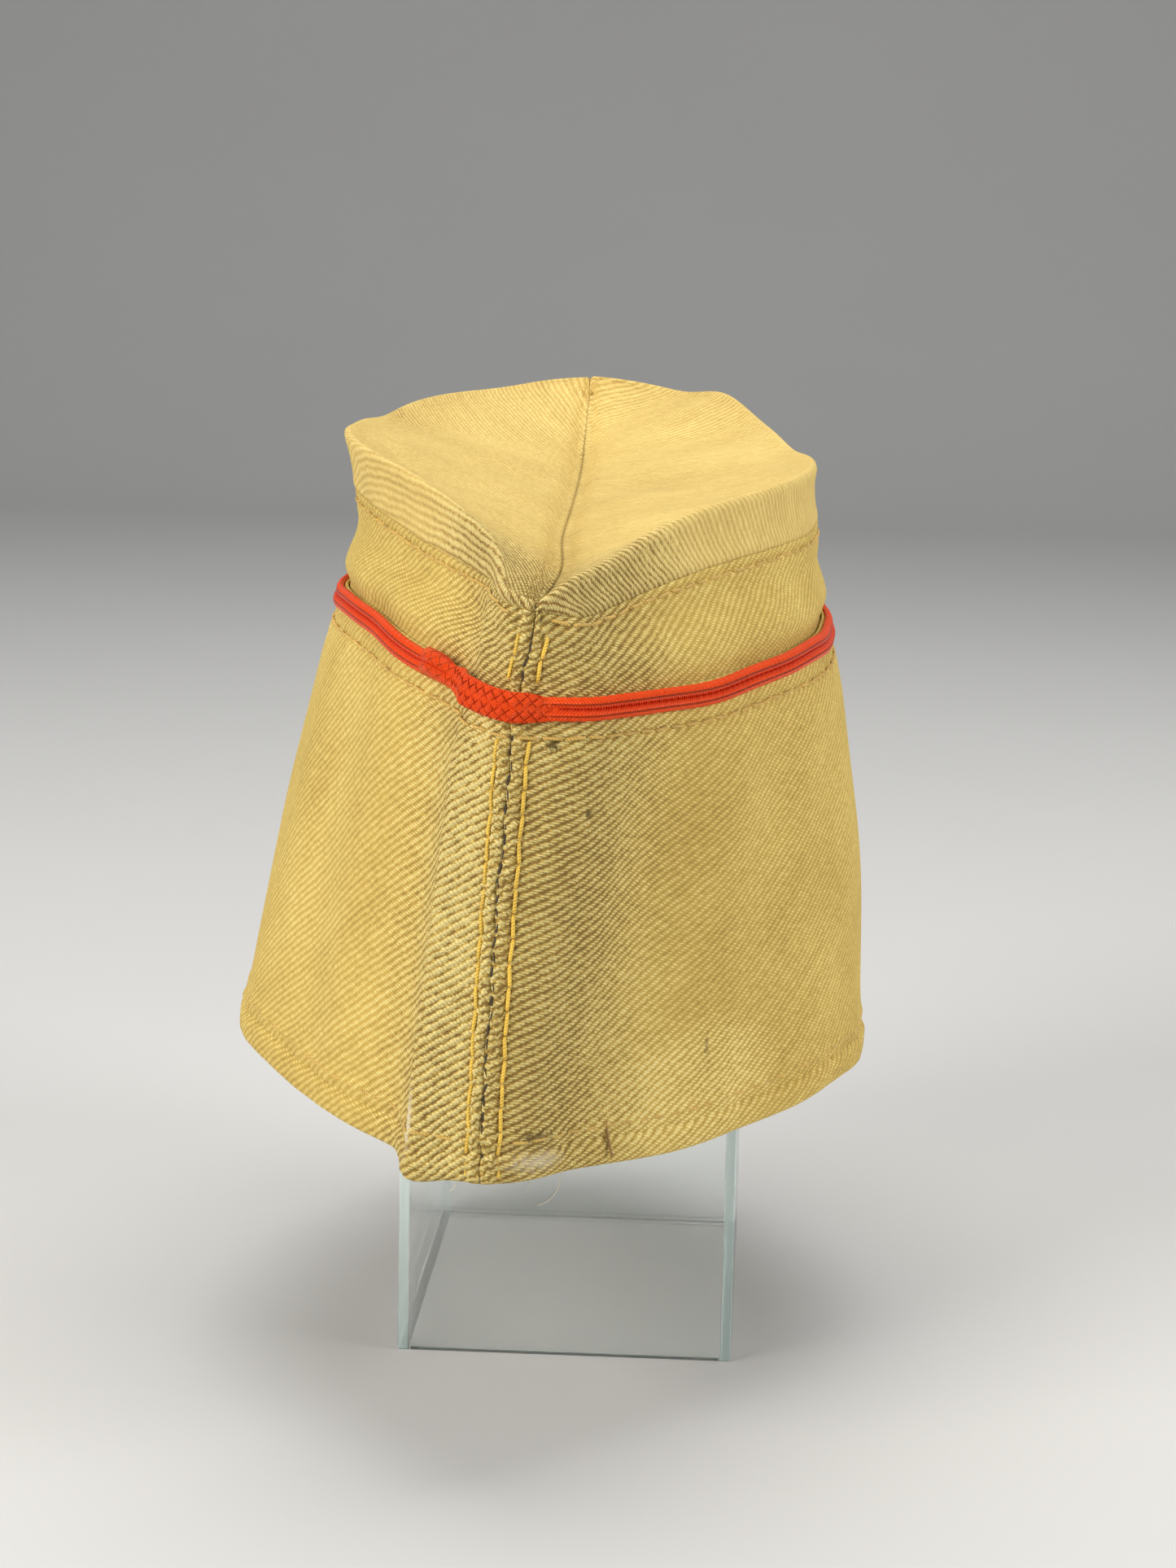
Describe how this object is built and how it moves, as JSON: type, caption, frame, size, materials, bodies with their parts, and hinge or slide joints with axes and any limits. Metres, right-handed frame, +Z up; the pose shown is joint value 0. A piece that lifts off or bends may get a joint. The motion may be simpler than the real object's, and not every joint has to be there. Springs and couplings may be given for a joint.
{
  "type": "side cap on a clear box stand",
  "caption": "Folding cloth side cap with a turn-up edged in red braid and a trough along its top, standing over a clear box stand.",
  "frame": {"origin": "middle of the object's box, on the surface that the stand rests on", "axes": "+Z up; the cap's length lies along Y with its notched end at -Y; +X is the cap's right side seen from that end"},
  "size_m": [0.127, 0.2199, 0.186],
  "materials": {
    "twill": "matt cotton twill, khaki",
    "top_twill": "matt cotton twill, khaki, another grain",
    "braid": "satin red braid",
    "clear_plastic": "clear polished plastic"
  },
  "bodies": {
    "root": {"crown_left": "twill", "crown_right": "twill", "top_left": "top_twill", "top_right": "top_twill", "curtain_left": "twill", "curtain_right": "twill", "braid": "braid", "stand_front": "clear_plastic", "stand_back": "clear_plastic", "stand_left": "clear_plastic", "stand_right": "clear_plastic", "stand_top": "clear_plastic"}
  },
  "joints": []
}
